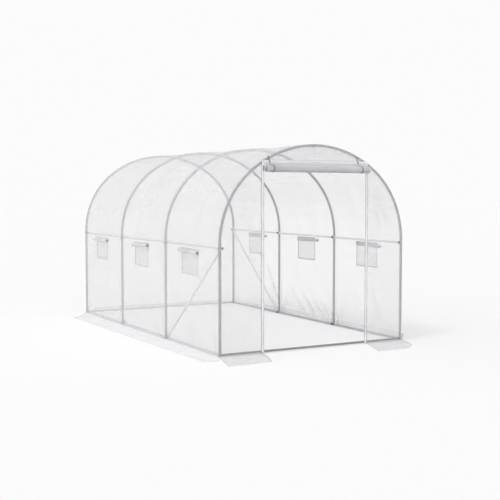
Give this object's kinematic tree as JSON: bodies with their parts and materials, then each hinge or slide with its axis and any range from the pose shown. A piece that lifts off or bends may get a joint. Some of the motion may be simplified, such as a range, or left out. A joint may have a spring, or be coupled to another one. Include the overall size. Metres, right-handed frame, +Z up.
{
  "type": "polytunnel greenhouse",
  "caption": "Walk-in polytunnel greenhouse: a clear film cover over arched steel hoops, with a rolled-up door, roll-up mesh windows and ground skirts.",
  "frame": {"origin": "on the ground, at the middle of the plan", "axes": "+Z up, the doorway faces -Y, +X is to the right of someone who faces the doorway, and the tunnel runs along Y"},
  "size_m": [2.6006, 4.4006, 1.9053],
  "materials": {
    "steel_tube": "galvanised, dull",
    "dark_hardware": "moulded knobs and blackened bolts",
    "film": "clear polyethylene film, slightly milky",
    "gable_film": "doubled polyethylene film",
    "rolled_film": "many turns of polyethylene film",
    "skirt_film": "polyethylene film lying on the ground",
    "tape": "woven white tape",
    "tie": "woven webbing",
    "mesh": "fine insect mesh"
  },
  "bodies": {
    "root": {"leg_left_1": "steel_tube", "leg_left_2": "steel_tube", "leg_left_3": "steel_tube", "leg_left_4": "steel_tube", "leg_right_1": "steel_tube", "leg_right_2": "steel_tube", "leg_right_3": "steel_tube", "leg_right_4": "steel_tube", "arch_left_1": "steel_tube", "arch_left_2": "steel_tube", "arch_left_3": "steel_tube", "arch_left_4": "steel_tube", "arch_right_1": "steel_tube", "arch_right_2": "steel_tube", "arch_right_3": "steel_tube", "arch_right_4": "steel_tube", "base_rail_left": "steel_tube", "base_rail_right": "steel_tube", "base_rail_front": "steel_tube", "base_rail_back": "steel_tube", "shoulder_rail_left": "steel_tube", "shoulder_rail_right": "steel_tube", "brace_front": "steel_tube", "brace_back": "steel_tube", "foot_bolts": "dark_hardware", "shoulder_bolts": "dark_hardware", "arch_bolts": "dark_hardware", "cover_left_wall": "film", "cover_right_wall": "film", "cover_roof": "film", "cover_back": "film", "cover_front_left": "film", "cover_front_right": "film", "cover_front_gable": "gable_film", "door_head_band": "tape", "door_zips": "tape", "door_roll": "rolled_film", "door_ties": "tie", "window_mesh": "mesh", "window_rolls": "rolled_film", "skirt_left": "skirt_film", "skirt_right": "skirt_film", "skirt_front": "skirt_film", "skirt_back": "skirt_film"}
  },
  "joints": []
}
